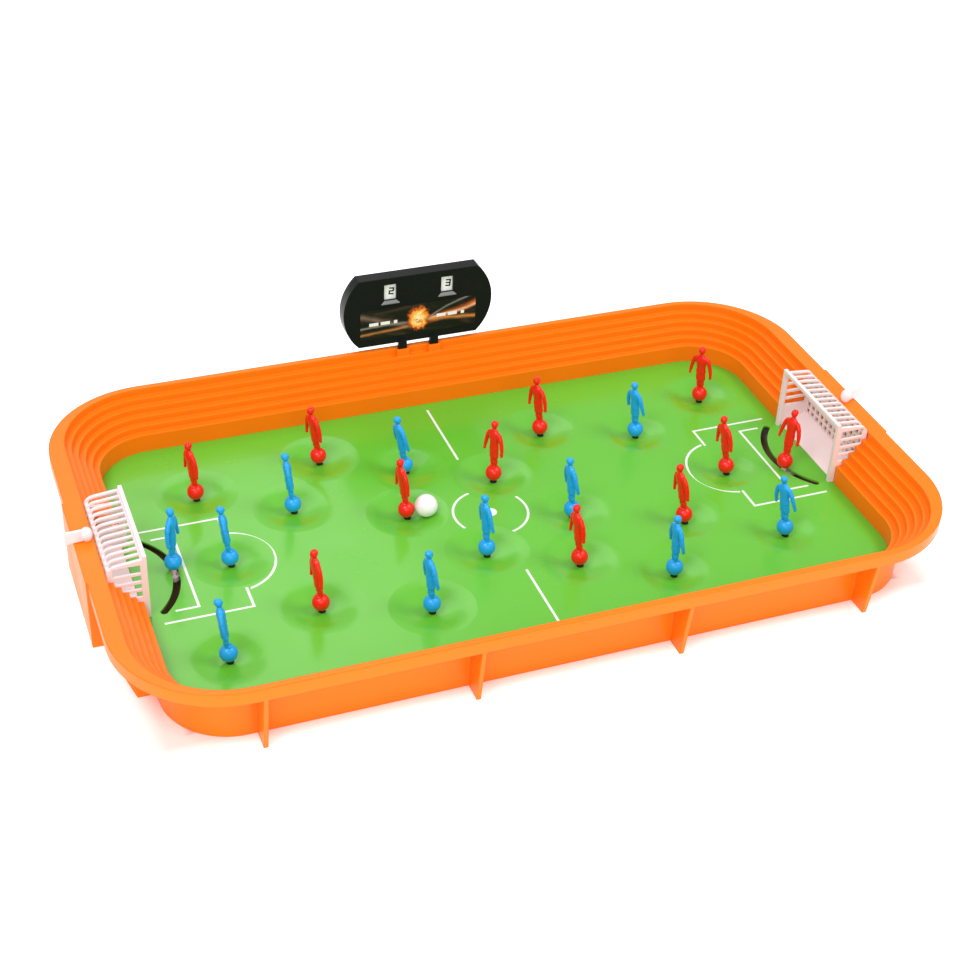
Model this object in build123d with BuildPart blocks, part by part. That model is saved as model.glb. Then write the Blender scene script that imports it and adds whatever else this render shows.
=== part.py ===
from build123d import *
import math
import os

os.makedirs("parts", exist_ok=True)

# Driving dimensions, mm. Floor at z = 0, long side along X, +Y is the scoreboard side.
FLANGE_X = 300.0
FLANGE_Y = 180.0
FLANGE_R = 77.0
RIM_Z = 55.0
LIP_Z = 45.3
WALL = 1.8
PITCH_X = 264.5
PITCH_Y = 152.3
PITCH_R = 41.5
PITCH_Z = 13.5
SHEET = 1.5
LEDGE_Z = 12.0
TREAD = 4.6
TREAD_Z = (28.0, 33.25, 38.5, 43.75, 49.0)
GOAL_HALF = 42.6
BOX_HALF = 46.0
BOX_X = 301.5
PIVOT_X = 292.0
SLOT_R = 57.0
SLOT_W = 5.4
SLOT_ANGLE = 44.0
DISH_R = 58.0
DISH_RIM = 41.0
DISH_DEPTH = 5.3
BALL_R = 6.2
BALL_Z = 16.4
HINGE_Z = 8.2
KEEPER_Z = 20.5
SPRING_R = 2.5
SPRING_FOOT = 2.0
SPRING_TOP = 12.0
PLAY_BALL_R = 8.5
BOARD_X = 2.5
BOARD_FRONT = 176.0
BOARD_BACK = 187.0
BOARD_Z0 = 60.0
BOARD_Z1 = 119.0
DIAL_Z = 89.8
DIAL_X = 23.5
DIAL_R = 23.2
CENTRE_Y = 3.5

# Mount point of each red player and how it stands: x, y, yaw, lean x, lean y in degrees.
RED = (
    (-200.0, 86.0, 14.0, -4.7, -1.7),
    (-148.0, -65.5, 5.0, -5.3, 1.8),
    (-100.5, 104.0, 18.0, -7.3, 0.0),
    (-58.5, 18.0, 8.0, -6.7, 1.7),
    (18.5, 42.3, 22.0, 0.0, 3.6),
    (41.0, -73.0, 7.0, -5.9, 3.5),
    (76.5, 90.0, 20.0, -5.7, 3.8),
    (135.7, -49.4, 5.0, -9.5, 3.4),
    (194.5, -2.0, 7.0, -8.3, 3.6),
    (220.0, 97.5, 34.0, -4.1, -1.2),
)
BLUE = (
    (-220.0, -97.5, -12.0, -5.9, 3.3),
    (-194.5, 2.0, -8.0, -6.6, 0.3),
    (-135.7, 49.4, -10.0, -6.2, 1.8),
    (-76.5, -90.0, 7.0, -3.7, 1.9),
    (-41.0, 73.0, 10.0, -8.9, 0.0),
    (-18.5, -42.3, 5.0, -3.3, 2.6),
    (58.5, -18.0, 4.0, -5.3, 3.0),
    (100.5, -104.0, 2.0, -2.8, 0.9),
    (148.0, 65.5, 14.0, -6.9, -1.3),
    (200.0, -86.0, 17.0, -7.6, 4.0),
)
KEEPER_RED = (-14.8, 18.0, 3.8, 2.1)
KEEPER_BLUE = (3.6, -33.0, 0.9, 1.2)
PLAY_BALL = (-45.08, 15.2, 18.7)


def save(shape, name):
    placed = Location((0, -CENTRE_Y, 0)) * shape
    placed.label = name
    export_step(placed, "parts/" + name + ".step")


def outline(offset, z0, z1, mode):
    with BuildSketch(Plane.XY.offset(z0)) as face:
        RectangleRounded(2 * (PITCH_X + offset), 2 * (PITCH_Y + offset), PITCH_R + offset)
    extrude(face.sketch, amount=z1 - z0, mode=mode)


def block(x0, x1, y0, y1, z0, z1, mode=Mode.ADD):
    centre = ((x0 + x1) / 2, (y0 + y1) / 2, (z0 + z1) / 2)
    with Locations(centre):
        Box(abs(x1 - x0), abs(y1 - y0), z1 - z0, mode=mode)


def rod(x, y, z0, z1, r, mode=Mode.ADD):
    with Locations((x, y, (z0 + z1) / 2)):
        Cylinder(r, z1 - z0, mode=mode)


# Tray: stepped terraces, flange with turned-down lip, skirt, end boxes and gussets, one moulding.
with BuildPart() as tray:
    outline(TREAD + WALL, 0, TREAD_Z[1], Mode.ADD)
    for k in (2, 3, 4, 5):
        top = RIM_Z if k == 5 else TREAD_Z[k]
        outline(TREAD * k + WALL, TREAD_Z[k - 1] - WALL, top, Mode.ADD)
    with BuildSketch(Plane.XY.offset(LIP_Z)):
        RectangleRounded(2 * FLANGE_X, 2 * FLANGE_Y, FLANGE_R)
        RectangleRounded(2 * (FLANGE_X - WALL), 2 * (FLANGE_Y - WALL), FLANGE_R - WALL, mode=Mode.SUBTRACT)
    extrude(amount=RIM_Z - LIP_Z)
    with BuildSketch(Plane.XY.offset(RIM_Z - WALL)):
        RectangleRounded(2 * FLANGE_X, 2 * FLANGE_Y, FLANGE_R)
    extrude(amount=WALL)
    for side in (-1, 1):
        block(side * 262, side * BOX_X, -BOX_HALF, BOX_HALF, 0, RIM_Z)
        for x in (-216.3, -73.6, 73.6, 216.3):
            with BuildSketch(Plane(origin=(x - 1.5, 0, 0), x_dir=(0, 1, 0), z_dir=(1, 0, 0))):
                with BuildLine():
                    Polyline(
                        (side * 157.5, 0),
                        (side * 173.8, 0),
                        (side * 180, LIP_Z),
                        (side * 180, 50),
                        (side * 176, 49.5),
                        (side * 157.5, 28.5),
                        close=True,
                    )
                make_face()
            extrude(amount=3)
        for y in (-102.0, 102.0):
            with BuildSketch(Plane(origin=(0, y + 1.5, 0), x_dir=(1, 0, 0), z_dir=(0, -1, 0))):
                with BuildLine():
                    Polyline(
                        (side * 269.7, 0),
                        (side * 283, 0),
                        (side * 299.5, LIP_Z),
                        (side * 299.5, 54),
                        (side * 288.2, 49.5),
                        (side * 269.7, 28.5),
                        close=True,
                    )
                make_face()
            extrude(amount=3)
    for side in (-1, 1):
        x = BOARD_X + side * 13.2
        block(x - 5.4, x + 5.4, 172.2, 179.4, 45.5, RIM_Z)
    outline(0, LEDGE_Z, 60, Mode.SUBTRACT)
    outline(TREAD, TREAD_Z[0], 60, Mode.SUBTRACT)
    outline(TREAD * 2, TREAD_Z[1], 60, Mode.SUBTRACT)
    outline(TREAD * 3, TREAD_Z[2], 60, Mode.SUBTRACT)
    outline(TREAD * 4, TREAD_Z[3], 60, Mode.SUBTRACT)
    with BuildSketch(Plane.XY.offset(TREAD_Z[4])):
        RectangleRounded(2 * (PITCH_X + 23), 2 * (PITCH_Y + 23), PITCH_R + 23)
        for side in (-1, 1):
            with Locations((BOARD_X + side * 13.2, 173.8)):
                Rectangle(10.8, 3.2, mode=Mode.SUBTRACT)
    extrude(amount=11, mode=Mode.SUBTRACT)
    outline(TREAD, -1, LEDGE_Z - WALL, Mode.SUBTRACT)
    outline(-3, -1, LEDGE_Z + 1, Mode.SUBTRACT)
    with BuildSketch(Plane.XY.offset(LEDGE_Z - WALL - 0.01)):
        RectangleRounded(2 * (PITCH_X + TREAD), 2 * (PITCH_Y + TREAD), PITCH_R + TREAD)
        RectangleRounded(2 * (PITCH_X + WALL), 2 * (PITCH_Y + WALL), PITCH_R + WALL, mode=Mode.SUBTRACT)
    extrude(amount=TREAD_Z[0] - LEDGE_Z, mode=Mode.SUBTRACT)
    for side in (-1, 1):
        block(side * 262, side * (BOX_X - WALL), -GOAL_HALF, GOAL_HALF, -1, RIM_Z - WALL, Mode.SUBTRACT)
        block(side * 262, side * 287.5, -GOAL_HALF, GOAL_HALF, LEDGE_Z, 60, Mode.SUBTRACT)
        block(side * 261, side * 286, -GOAL_HALF - 1, GOAL_HALF + 1, LEDGE_Z - WALL, LEDGE_Z)
        rod(side * PIVOT_X, 0, 40, RIM_Z - WALL + 0.5, 4.4)
        rod(side * PIVOT_X, 0, 30, 60, 2.1, Mode.SUBTRACT)
    for side in (-1, 1):
        x = BOARD_X + side * 13.2
        block(x - 3.6, x + 3.6, 173.7, 177.7, TREAD_Z[4], 60, Mode.SUBTRACT)
save(tray.part, "tray")

# Pitch: thin moulded sheet with one shallow dish and one spring socket for each field player.
# A dish is a hollow arc of DISH_R running into a rounded rim of DISH_RIM.
DISH_TURN = math.acos(1 - DISH_DEPTH / (DISH_R + DISH_RIM))
MOUNTS = [(p[0], p[1]) for p in RED + BLUE]


def dish(x, y, bowl, rim, top, lid, mode):
    low = top - (bowl + rim) * (1 - math.cos(DISH_TURN))
    turn = (bowl * math.sin(DISH_TURN), low + bowl * (1 - math.cos(DISH_TURN)))
    bowl_mid = (bowl * math.sin(DISH_TURN / 2), low + bowl * (1 - math.cos(DISH_TURN / 2)))
    edge = (bowl + rim) * math.sin(DISH_TURN)
    rim_mid = (edge - rim * math.sin(DISH_TURN / 2), top - rim * (1 - math.cos(DISH_TURN / 2)))
    with BuildSketch(Plane(origin=(x, y, 0), x_dir=(1, 0, 0), z_dir=(0, -1, 0))) as face:
        with BuildLine():
            Line((0, lid), (0, low))
            ThreePointArc((0, low), bowl_mid, turn)
            ThreePointArc(turn, rim_mid, (edge, top))
            Line((edge, top), (edge, lid))
            Line((edge, lid), (0, lid))
        make_face()
    revolve(face.sketch, axis=Axis((x, y, 0), (0, 0, 1)), mode=mode)


with BuildPart() as pitch:
    outline(-0.2, LEDGE_Z + 0.01, PITCH_Z, Mode.ADD)
    for x, y in MOUNTS:
        dish(x, y, DISH_R + SHEET, DISH_RIM - SHEET, PITCH_Z - SHEET + 0.04, PITCH_Z - 0.5, Mode.ADD)
        rod(x, y, 1.0, 7.2, 4.4)
    for x, y in MOUNTS:
        dish(x, y, DISH_R, DISH_RIM, PITCH_Z + 0.015, PITCH_Z + 0.5, Mode.SUBTRACT)
        rod(x, y, SPRING_FOOT, 9.0, SPRING_R + 0.1, Mode.SUBTRACT)
    for side in (-1, 1):
        with BuildSketch(Plane.XY.offset(LEDGE_Z - 1)):
            with BuildLine():
                a0 = math.radians(180 - SLOT_ANGLE) if side > 0 else math.radians(-SLOT_ANGLE)
                a1 = math.radians(180 + SLOT_ANGLE) if side > 0 else math.radians(SLOT_ANGLE)
                am = (a0 + a1) / 2
                ri = SLOT_R - SLOT_W / 2
                ro = SLOT_R + SLOT_W / 2
                cx = side * PIVOT_X
                i0 = (cx + ri * math.cos(a0), ri * math.sin(a0))
                im = (cx + ri * math.cos(am), ri * math.sin(am))
                i1 = (cx + ri * math.cos(a1), ri * math.sin(a1))
                o0 = (cx + ro * math.cos(a0), ro * math.sin(a0))
                om = (cx + ro * math.cos(am), ro * math.sin(am))
                o1 = (cx + ro * math.cos(a1), ro * math.sin(a1))
                e0 = (cx + SLOT_R * math.cos(a0), SLOT_R * math.sin(a0))
                e1 = (cx + SLOT_R * math.cos(a1), SLOT_R * math.sin(a1))
                t0 = (math.sin(a0), -math.cos(a0))
                t1 = (-math.sin(a1), math.cos(a1))
                half = SLOT_W / 2
                ThreePointArc(i0, im, i1)
                ThreePointArc(i1, (e1[0] + half * t1[0], e1[1] + half * t1[1]), o1)
                ThreePointArc(o1, om, o0)
                ThreePointArc(o0, (e0[0] + half * t0[0], e0[1] + half * t0[1]), i0)
            make_face()
        extrude(amount=4, mode=Mode.SUBTRACT)
save(pitch.part, "pitch")


def limb(p0, p1, r0, r1):
    d = (p1[0] - p0[0], p1[1] - p0[1], p1[2] - p0[2])
    with BuildSketch(Plane(origin=p0, z_dir=d)) as near:
        Circle(r0)
    with BuildSketch(Plane(origin=p1, z_dir=d)) as far:
        Circle(r1)
    loft([near.sketch, far.sketch])
    with Locations(p1):
        Sphere(r1)


# Moulded footballer above its base ball: legs together, arms hanging clear of the body.
# Each stage: height, depth and width of the body at that level.
STAGES = (
    (4.2, 4.0, 5.0),
    (12.0, 4.2, 5.4),
    (21.5, 5.2, 7.4),
    (27.5, 4.6, 6.8),
    (32.8, 5.6, 10.0),
    (36.0, 4.0, 8.4),
    (37.4, 2.8, 3.6),
)
with BuildPart() as figure:
    for (z0, d0, w0), (z1, d1, w1) in zip(STAGES, STAGES[1:]):
        with BuildSketch(Plane.XY.offset(z0)):
            Rectangle(d0, w0)
        with BuildSketch(Plane.XY.offset(z1)):
            Rectangle(d1, w1)
        loft(ruled=True)
    rod(0, 0, 36.8, 39.6, 1.5)
    with Locations((0, 0, 41.2)):
        Sphere(2.6)
    with Locations((0, 0, 42.6)):
        Sphere(2.5)
    for s in (-1, 1):
        limb((0, s * 4.2, 34.2), (0.1, s * 8.2, 27.4), 1.85, 1.55)
        limb((0.1, s * 8.2, 27.4), (0.9, s * 9.5, 19.6), 1.55, 1.35)


def player(name, x, y, z, yaw, lean_x, lean_y, socket_r, socket_top):
    bore_x = x
    bore_y = y
    if socket_r > SPRING_R:
        x = x + (z - HINGE_Z) * math.tan(math.radians(lean_x))
        y = y + (z - HINGE_Z) * math.tan(math.radians(lean_y))
    posed = Location((x, y, z)) * Location((0, 0, 0), (-lean_y, lean_x, 0)) * Location((0, 0, 0), (0, 0, yaw))
    with BuildPart() as one:
        with Locations((x, y, z)):
            Sphere(BALL_R)
        add(posed * figure.part)
        rod(bore_x, bore_y, z - BALL_R - 1, socket_top, socket_r, Mode.SUBTRACT)
    save(one.part, name)


def spring(name, x, y):
    turns = 8
    step = (SPRING_TOP - SPRING_FOOT - 0.06) / turns
    low = SPRING_FOOT + 0.03
    with BuildPart() as one:
        rod(x, y, low, SPRING_TOP - 0.03, SPRING_R - 0.35)
        for k in range(turns):
            rod(x, y, low + k * step + 0.25 * step, low + k * step + 0.8 * step, SPRING_R)
        rod(x, y, low - 1, SPRING_TOP + 1, SPRING_R - 0.8, Mode.SUBTRACT)
    save(one.part, name)


for n, (x, y, yaw, lx, ly) in enumerate(RED, 1):
    player("player_red_" + str(n), x, y, BALL_Z, yaw + 180, lx, ly, SPRING_R + 0.1, SPRING_TOP + 0.2)
    spring("spring_red_" + str(n), x, y)
for n, (x, y, yaw, lx, ly) in enumerate(BLUE, 1):
    player("player_blue_" + str(n), x, y, BALL_Z, yaw, lx, ly, SPRING_R + 0.1, SPRING_TOP + 0.2)
    spring("spring_blue_" + str(n), x, y)


# Keeper lever: knob with fin and shaft above the flange, arm with peg below the pitch, one screw.
def lever(team, side, angle, yaw, lean_x, lean_y):
    base = 180 if side > 0 else 0
    along = math.radians(base - angle if side > 0 else angle)
    ux = math.cos(along)
    uy = math.sin(along)
    px = side * PIVOT_X
    kx = px + SLOT_R * ux
    ky = SLOT_R * uy
    player("keeper_" + team, kx, ky, KEEPER_Z, yaw, lean_x, lean_y, 2.03, 18.6)
    arm_plane = Plane(origin=(px, 0, 5.0), x_dir=(ux, uy, 0), z_dir=(0, 0, 1))
    with BuildPart() as arm:
        with BuildSketch(arm_plane):
            with Locations((SLOT_R / 2, 0)):
                Rectangle(SLOT_R, 7.0)
            Circle(5.2)
            with Locations((SLOT_R, 0)):
                Circle(4.0)
        extrude(amount=4.0)
        rod(kx, ky, 8.5, 18.5, 2.0)
        rod(px, 0, 6.0, 10.0, 2.02, Mode.SUBTRACT)
        rod(px, 0, 4.0, 7.0, 1.2, Mode.SUBTRACT)
    save(arm.part, "arm_" + team)
    with BuildPart() as knob:
        rod(px, 0, 6.02, 56.5, 2.0)
        with BuildSketch(Plane(origin=(px, 0, 0), x_dir=(1, 0, 0), z_dir=(0, -1, 0))):
            with BuildLine():
                Line((0, 55.3), (0, 65.2))
                Spline((0, 65.2), (2.6, 64.2), (4.0, 60.6), (3.2, 56.6), (2.4, 55.3))
                Line((2.4, 55.3), (0, 55.3))
            make_face()
        revolve(axis=Axis((px, 0, 0), (0, 0, 1)))
        fin = 15.1 if side > 0 else 15.0
        with BuildSketch(Plane(origin=(px, 0, 55.8), x_dir=(-ux, -uy, 0), z_dir=(0, 0, 1))):
            with BuildLine():
                Polyline((0, -1.2), (fin - 5, -1.2), (fin, -1.9), (fin, 1.9), (fin - 5, 1.2), (0, 1.2), close=True)
            make_face()
        extrude(amount=8.4)
        rod(px, 0, 5.0, 15.0, 1.15, Mode.SUBTRACT)
    save(knob.part, "knob_" + team)
    with BuildPart() as screw:
        rod(px, 0, 3.2, 4.99, 3.4)
        rod(px, 0, 4.5, 14.5, 1.1)
        block(px - 2.2, px + 2.2, -0.45, 0.45, 3.0, 4.0, Mode.SUBTRACT)
        block(px - 0.45, px + 0.45, -2.2, 2.2, 3.0, 4.0, Mode.SUBTRACT)
    save(screw.part, "screw_" + team)


lever("red", 1, KEEPER_RED[0], KEEPER_RED[1] + 180, KEEPER_RED[2], KEEPER_RED[3])
lever("blue", -1, KEEPER_BLUE[0], KEEPER_BLUE[1], KEEPER_BLUE[2], KEEPER_BLUE[3])


# Goal: one-piece box net, a front frame with slats that run back over the roof and round into
# a pierced rear wall, slatted sides and a sloping floor.
def goal(name, side):
    s = side
    with BuildPart() as net:
        with BuildSketch(Plane(origin=(0, 42.2, 0), x_dir=(1, 0, 0), z_dir=(0, -1, 0))):
            with BuildLine():
                Line((s * 262.0, 62.6), (s * 280.4, 60.8))
                ThreePointArc((s * 280.4, 60.8), (s * 285.2, 58.2), (s * 287.1, 53.0))
                Line((s * 287.1, 53.0), (s * 287.1, LEDGE_Z + 0.02))
                Line((s * 287.1, LEDGE_Z + 0.02), (s * 285.4, LEDGE_Z + 0.02))
                Line((s * 285.4, LEDGE_Z + 0.02), (s * 285.4, 52.6))
                ThreePointArc((s * 285.4, 52.6), (s * 283.9, 56.9), (s * 280.0, 59.1))
                Line((s * 280.0, 59.1), (s * 262.0, 60.9))
                Line((s * 262.0, 60.9), (s * 262.0, 62.6))
            make_face()
        extrude(amount=84.4)
        for t in (-1, 1):
            with BuildSketch(Plane(origin=(0, t * 41.4 + 0.8, 0), x_dir=(1, 0, 0), z_dir=(0, -1, 0))):
                with BuildLine():
                    Line((s * 264.6, LEDGE_Z + 0.02), (s * 264.6, PITCH_Z + 0.05))
                    Line((s * 264.6, PITCH_Z + 0.05), (s * 261.5, PITCH_Z + 0.05))
                    Line((s * 261.5, PITCH_Z + 0.05), (s * 261.5, 62.5))
                    Line((s * 261.5, 62.5), (s * 280.4, 60.7))
                    ThreePointArc((s * 280.4, 60.7), (s * 285.1, 58.1), (s * 287.0, 53.0))
                    Line((s * 287.0, 53.0), (s * 287.0, LEDGE_Z + 0.02))
                    Line((s * 287.0, LEDGE_Z + 0.02), (s * 264.6, LEDGE_Z + 0.02))
                make_face()
            extrude(amount=1.6)
            block(s * 260.1, s * 262.9, t * 39.2, t * 42.2, PITCH_Z + 0.05, 65.0)
        block(s * 260.1, s * 262.9, -42.2, 42.2, 62.2, 65.0)
        with BuildSketch(Plane(origin=(0, 42.0, 0), x_dir=(1, 0, 0), z_dir=(0, -1, 0))):
            with BuildLine():
                Polyline(
                    (s * 264.6, LEDGE_Z + 0.1),
                    (s * 264.6, PITCH_Z),
                    (s * 287.0, 21.8),
                    (s * 287.0, 20.0),
                    (s * 269.0, LEDGE_Z + 0.1),
                    close=True,
                )
            make_face()
        extrude(amount=84.0)
        for k in range(12):
            y = (k - 5.5) * 6.8
            block(s * 264.0, s * 289.0, y - 2.45, y + 2.45, 56.6, 66, Mode.SUBTRACT)
            for z in (24.6, 30.6, 36.6, 42.6, 48.6):
                block(s * 284, s * 289, y - 2.0, y + 2.0, z - 2.0, z + 2.0, Mode.SUBTRACT)
            block(s * 284, s * 289, y - 2.0, y + 2.0, 52.4, 55.2, Mode.SUBTRACT)
        for z0, z1 in ((31.9, 36.7), (38.7, 43.1), (45.2, 50.0), (52.0, 58.6)):
            block(s * 264.6, s * 283.2, -44, 44, z0, z1, Mode.SUBTRACT)
    save(net.part, name)


goal("goal_red", 1)
goal("goal_blue", -1)


# Scoreboard: hollow case with bowed ends, back cover, two score dials and a front label.
def upright(y):
    return Plane(origin=(0, y, 0), x_dir=(1, 0, 0), z_dir=(0, -1, 0))


def board_slab(inset, y0, y1, mode):
    w = 49.0 - inset
    z0 = BOARD_Z0 + inset
    z1 = BOARD_Z1 - inset
    bow = 61.5 - inset
    mid = (z0 + z1) / 2
    with BuildSketch(upright(y1)) as face:
        with BuildLine():
            Line((BOARD_X - w, z0), (BOARD_X + w, z0))
            ThreePointArc((BOARD_X + w, z0), (BOARD_X + bow, mid), (BOARD_X + w, z1))
            Line((BOARD_X + w, z1), (BOARD_X - w, z1))
            ThreePointArc((BOARD_X - w, z1), (BOARD_X - bow, mid), (BOARD_X - w, z0))
        make_face()
    extrude(face.sketch, amount=y1 - y0, mode=mode)


with BuildPart() as case:
    board_slab(0, BOARD_FRONT, 185.4, Mode.ADD)
    board_slab(WALL, BOARD_FRONT + WALL, 186.0, Mode.SUBTRACT)
    for side in (-1, 1):
        x = BOARD_X + side * DIAL_X
        block(x - 5.0, x + 5.0, 175, 179, 99.5, 113.2, Mode.SUBTRACT)
        x = BOARD_X + side * 13.2
        block(x - 3.4, x + 3.4, 174.0, 177.4, 49.2, 62.0)
save(case.part, "scoreboard_case")

with BuildPart() as back:
    board_slab(WALL + 0.1, 184.0, 186.0, Mode.ADD)
    board_slab(WALL + 1.4, 183.0, 185.42, Mode.SUBTRACT)
    board_slab(0, 185.42, BOARD_BACK, Mode.ADD)
    for side in (-1, 1):
        with Locations((BOARD_X + side * DIAL_X, 186.0, DIAL_Z)):
            Cylinder(3.08, 8.0, rotation=(90, 0, 0), mode=Mode.SUBTRACT)
save(back.part, "scoreboard_back")

for side, name in ((-1, "dial_left"), (1, "dial_right")):
    x = BOARD_X + side * DIAL_X
    with BuildPart() as dial:
        with BuildSketch(upright(179.7)):
            with Locations((x, DIAL_Z)):
                Circle(DIAL_R)
        extrude(amount=1.2)
        with BuildSketch(upright(186.8)):
            with Locations((x, DIAL_Z)):
                Circle(3.0)
        extrude(amount=7.3)
        with BuildSketch(upright(187.5)):
            with Locations((x, DIAL_Z)):
                Rectangle(4.4, 1.0)
        extrude(amount=2.0, mode=Mode.SUBTRACT)
    save(dial.part, name)

with BuildPart() as label:
    with BuildSketch(upright(BOARD_FRONT - 0.02)):
        with Locations((BOARD_X, 79.7)):
            RectangleRounded(96.0, 26.2, 1.5)
    extrude(amount=0.35)
save(label.part, "score_label")

with BuildPart() as ball:
    with Locations(PLAY_BALL):
        Sphere(PLAY_BALL_R)
save(ball.part, "ball")
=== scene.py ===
import math

import bpy
import numpy as np
from bpy.props import FloatProperty, FloatVectorProperty, IntProperty, PointerProperty
from bpy.types import Operator, Panel, PropertyGroup
from mathutils import Matrix, Vector


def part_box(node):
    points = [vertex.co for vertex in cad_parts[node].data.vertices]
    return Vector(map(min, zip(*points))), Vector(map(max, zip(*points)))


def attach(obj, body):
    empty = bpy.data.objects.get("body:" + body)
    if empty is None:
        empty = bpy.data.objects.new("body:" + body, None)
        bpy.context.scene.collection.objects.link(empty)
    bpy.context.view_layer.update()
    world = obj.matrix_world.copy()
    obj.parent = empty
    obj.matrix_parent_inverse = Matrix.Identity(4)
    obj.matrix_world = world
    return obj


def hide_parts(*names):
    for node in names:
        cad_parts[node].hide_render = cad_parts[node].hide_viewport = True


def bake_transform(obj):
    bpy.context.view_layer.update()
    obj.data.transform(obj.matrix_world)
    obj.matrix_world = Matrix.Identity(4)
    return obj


bl_info = {
    "name": "Spring football game",
    "version": (1, 0, 0),
    "blender": (4, 0, 0),
    "location": "3D View > Sidebar > Spring football",
    "description": "Plastics, print, springs and digits of a tabletop spring football game",
    "category": "Object",
}

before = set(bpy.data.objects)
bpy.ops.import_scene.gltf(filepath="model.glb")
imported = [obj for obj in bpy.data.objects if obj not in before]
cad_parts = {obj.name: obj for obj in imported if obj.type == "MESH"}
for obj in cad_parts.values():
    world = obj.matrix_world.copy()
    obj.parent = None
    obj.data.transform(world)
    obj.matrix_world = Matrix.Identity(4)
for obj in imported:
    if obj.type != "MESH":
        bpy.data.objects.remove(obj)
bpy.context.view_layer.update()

# Lengths are in metres unless a comment says otherwise.
MM = 0.001
CENTRE_Y = -0.0035  # the pitch's middle
TEAMS = ("red", "blue")
SQUAD = range(1, 11)

# Printed marks, measured from the pitch's middle. The centre line is in two runs. Each box has the
# x of its front line, the x where its sides end, and its half width.
LINE_RUNS = ((0.0706, 0.1432), (-0.1308, -0.0715))
BIG_BOX = (0.192, 0.2534, 0.0522)
BIG_BOX_GAP = 0.0310  # half of the gap at the arc in the big box's front line
SMALL_BOX = (0.2275, 0.2437, 0.0411)
ARC_MIDDLE, ARC_RADIUS, ARC_END = 0.1979, 0.0338, 0.1895
PRINT_LEVEL = 0.01346  # only the flat of the pitch is printed, not the dishes and slots below it
PRINT_WHITE = (0.78, 0.83, 0.76)

# A footballer's ball in millimetres, and how much the figure above it is shortened.
PLAYER_BALL = 6.2
FIGURE_HEIGHT = 0.965

# Where stance() looks on a CAD footballer: how far up from its lowest point there is only the ball,
# how far up the ball's side is used, how far down from the top the head reaches, and the hands'
# heights and least distance from the axis.
BALL_TOP, SIDE_TOP = 0.008, 0.0045
HEAD_DEPTH = 0.007
HANDS_LOW, HANDS_HIGH, HANDS_OUT = 0.0175, 0.0225, 0.0068

COIL_STEPS = 14  # straight pieces of wire in one turn of a spring

# Streaks of the label: height at the middle, slope, bend, half width, side it runs to, and tint.
STREAKS = (
    (-0.0085, -0.35, 0.0, 0.0022, -1, (0.20, 0.13, 0.10)),
    (-0.0052, 0.075, 0.0, 0.0011, -1, (0.62, 0.24, 0.07)),
    (-0.0030, -0.10, -2.0, 0.0009, -1, (0.34, 0.30, 0.27)),
    (-0.0030, 0.05, 3.4, 0.0024, 1, (0.78, 0.16, 0.03)),
    (-0.0026, 0.07, 2.0, 0.0010, 1, (0.90, 0.62, 0.40)),
    (-0.0018, -0.065, 0.0, 0.0015, 1, (0.66, 0.25, 0.07)),
    (-0.0070, 0.75, -6.0, 0.0009, 1, (0.28, 0.27, 0.26)),
)
SMOKE_TONES = (
    (0.0, (0.006, 0.006, 0.006)),
    (0.55, (0.012, 0.010, 0.009)),
    (0.85, (0.07, 0.045, 0.03)),
)
FLAME_TONES = (
    (0.0, (0.98, 0.90, 0.66)),
    (0.40, (0.98, 0.74, 0.26)),
    (0.62, (0.96, 0.38, 0.04)),
    (0.82, (0.58, 0.09, 0.02)),
    (1.0, (0.02, 0.012, 0.01)),
)
FLAME_DROP = 0.0020  # how far the glowing ball sits under the label's middle
FLAME_EDGE = 0.0095  # where its glow has faded
# Pale dashes of the label: middle and half length. All have one half height.
DASHES = (
    (-0.0370, 0.0038),
    (-0.0275, 0.0038),
    (-0.0190, 0.0014),
    (0.0190, 0.0038),
    (0.0285, 0.0038),
    (0.0370, 0.0014),
)
DASH_HEIGHT = 0.0014

SILL_FRONT = 0.0020  # depth of the windows' face behind the front of the case
# Section of a window sill: half length, how far it stands out, and height.
SILL_STEPS = (
    (0.0050, 0.0, 0.0994),
    (0.0075, -0.0012, 0.0974),
    (0.0075, -0.0012, 0.0966),
    (0.0075, 0.0, 0.0966),
)

# Strokes that each digit leaves out of the seven.
LEFT_OUT = {
    0: ("mid",),
    1: ("top", "mid", "low", "upper_left", "lower_left"),
    2: ("upper_left", "lower_right"),
    3: ("upper_left", "lower_left"),
    4: ("top", "low", "lower_left"),
    5: ("upper_right", "lower_left"),
    6: ("upper_right",),
    7: ("mid", "low", "upper_left", "lower_left"),
    8: (),
    9: ("lower_left",),
}
DIGITS = 10
DIAL_TURN = 0.10  # radians by which the digits stand off straight
# A digit's print: how far it stands out, how much more each bar does, and how far it sinks in.
INK_PROUD, INK_LAYER, INK_SUNK = 0.00003, 0.000004, 0.0001

# Half sizes of the floor under the tray, where it is dark with painted shade, and of the whole
# floor.
COVERED_X, COVERED_Y = 0.285, 0.165
FLOOR_HALF = 6.0
FLOOR_GLOW = 0.42
SKY = 0.72

# Lamps: name, place, size and power in watts. All point at one spot.
LAMPS = (
    ("key_left", (-1.0, -0.7, 1.7), 0.7, 15.0),
    ("key_right", (1.1, -0.4, 1.6), 0.7, 12.0),
    ("back_fill", (0.0, 1.6, 1.8), 1.2, 8.0),
    ("front_fill", (-0.4, -1.7, 0.9), 1.2, 10.0),
)
LAMP_AIM = (0, 0, 0.02)

# The camera's direction and roll in degrees, the point it looks at, and how far off it is.
AZIMUTH, ELEVATION, ROLL = -22.29, 35.57, 2.86
AIM = (0.00806, 0.03315 + CENTRE_Y, 0.0135)
DISTANCE = 1.3139


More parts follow.
